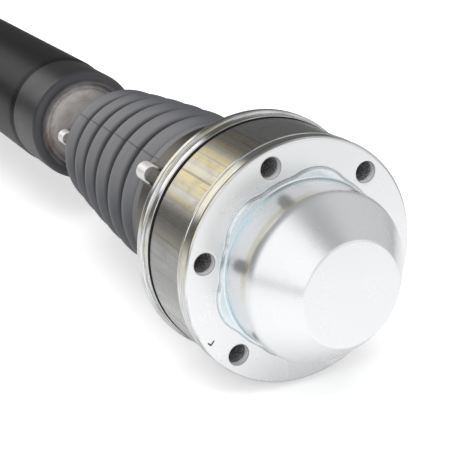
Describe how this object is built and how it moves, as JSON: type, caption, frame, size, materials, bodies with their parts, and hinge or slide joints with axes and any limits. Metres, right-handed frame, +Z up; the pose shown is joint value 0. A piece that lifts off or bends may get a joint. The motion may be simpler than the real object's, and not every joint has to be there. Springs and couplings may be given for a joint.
{
  "type": "drive shaft",
  "caption": "Vehicle propeller shaft: black tube with a ball joint, bellows boot, bolt-on race and bright grease cap at each end.",
  "frame": {"origin": "centre of the front mounting face, in the plane of the bolted flange", "axes": "+X along the shaft, out of the front mounting face; +Z up; +Y to the left of someone looking along +X"},
  "size_m": [0.7694, 0.1036, 0.1036],
  "materials": {
    "zinc_plate": "bright zinc plate, pressed sheet",
    "machined_steel": "turned and ground, oiled",
    "hard_steel": "hardened and ground",
    "stub_steel": "bare forging, black paint on the collar",
    "black_paint": "gloss black paint",
    "boot_rubber": "satin grey-black rubber",
    "seal_rubber": "matt black rubber",
    "clamp_steel": "bright stainless strip"
  },
  "bodies": {
    "shaft": {"tube": "black_paint", "front_stub_shaft": "stub_steel", "front_inner_race": "hard_steel", "front_circlip": "hard_steel", "front_small_clamp": "clamp_steel", "front_boot": "boot_rubber", "rear_stub_shaft": "stub_steel", "rear_inner_race": "hard_steel", "rear_circlip": "hard_steel", "rear_small_clamp": "clamp_steel", "rear_boot": "boot_rubber"},
    "front_cage": {"front_ball_cage": "hard_steel", "front_balls": "hard_steel"},
    "front_housing": {"front_outer_race": "machined_steel", "front_grease_cap": "zinc_plate", "front_can_seal": "seal_rubber", "front_boot_can": "zinc_plate", "front_large_clamp": "clamp_steel"},
    "rear_cage": {"rear_ball_cage": "hard_steel", "rear_balls": "hard_steel"},
    "rear_housing": {"rear_outer_race": "machined_steel", "rear_grease_cap": "zinc_plate", "rear_can_seal": "seal_rubber", "rear_boot_can": "zinc_plate", "rear_large_clamp": "clamp_steel"}
  },
  "joints": [
    {"name": "front_bend_y", "type": "hinge", "parent": "shaft", "child": "front_cage", "pos_m": [-0.0209, 0, 0], "axis": [0, 1, 0], "range_deg": [-10, 10], "deforming": ["front_boot"]},
    {"name": "front_bend_z", "type": "hinge", "parent": "front_cage", "child": "front_housing", "pos_m": [-0.0209, 0, 0], "axis": [0, 0, 1], "range_deg": [-10, 10], "deforming": ["front_boot"]},
    {"name": "rear_bend_y", "type": "hinge", "parent": "shaft", "child": "rear_cage", "pos_m": [-0.6791, 0, 0], "axis": [0, 1, 0], "range_deg": [-10, 10], "deforming": ["rear_boot"]},
    {"name": "rear_bend_z", "type": "hinge", "parent": "rear_cage", "child": "rear_housing", "pos_m": [-0.6791, 0, 0], "axis": [0, 0, 1], "range_deg": [-10, 10], "deforming": ["rear_boot"]}
  ]
}
